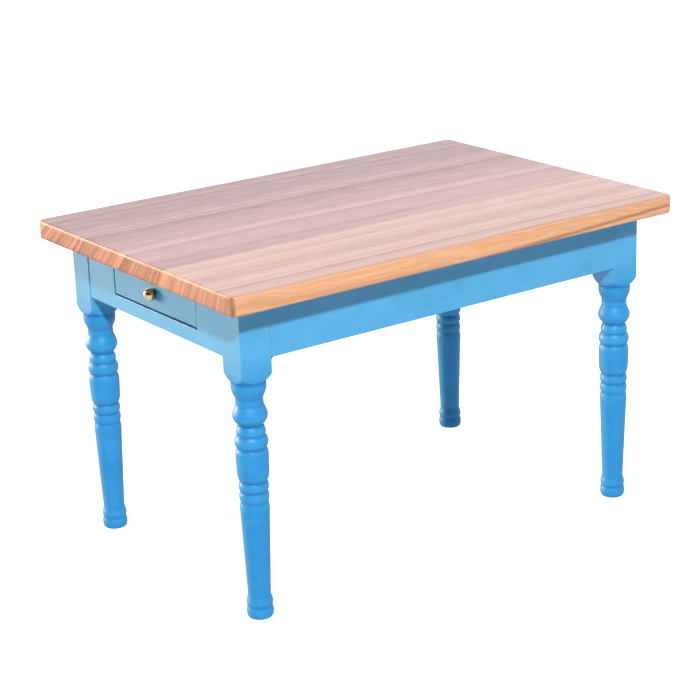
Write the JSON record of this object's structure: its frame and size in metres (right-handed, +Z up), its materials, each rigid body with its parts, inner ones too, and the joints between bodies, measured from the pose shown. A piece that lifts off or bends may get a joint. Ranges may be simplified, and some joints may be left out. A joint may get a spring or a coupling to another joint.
{
  "type": "miniature dining table",
  "caption": "Dolls house dining table with a plain wooden top, turned and painted legs, painted aprons and a small drawer with a ball knob that slides out of one end.",
  "frame": {"origin": "on the floor, under the middle of the tabletop", "axes": "+Z up; X along the table's length, with the drawer at -X; Y across the table"},
  "size_m": [0.1016, 0.0696, 0.0635],
  "materials": {
    "varnished_wood": "satin varnish",
    "blue_paint": "satin paint on wood",
    "bare_wood": "sanded, unfinished",
    "brass": "polished"
  },
  "bodies": {
    "frame": {"tabletop": "varnished_wood", "leg_drawer_left": "blue_paint", "leg_drawer_right": "blue_paint", "leg_far_left": "blue_paint", "leg_far_right": "blue_paint", "apron_left": "blue_paint", "apron_right": "blue_paint", "apron_drawer_end": "blue_paint", "apron_far_end": "blue_paint", "runner_left": "bare_wood", "runner_right": "bare_wood", "guide_left": "bare_wood", "guide_right": "bare_wood", "cross_rail": "bare_wood", "corner_block_drawer_left": "bare_wood", "corner_block_drawer_right": "bare_wood", "corner_block_far_left": "bare_wood", "corner_block_far_right": "bare_wood"},
    "drawer": {"drawer_front": "blue_paint", "drawer_side_left": "bare_wood", "drawer_side_right": "bare_wood", "drawer_back": "bare_wood", "drawer_bottom": "bare_wood", "drawer_knob": "brass"}
  },
  "joints": [
    {"name": "drawer_slide", "type": "slide", "parent": "frame", "child": "drawer", "axis": [-1, 0, 0], "range_m": [0, 0.028]}
  ]
}
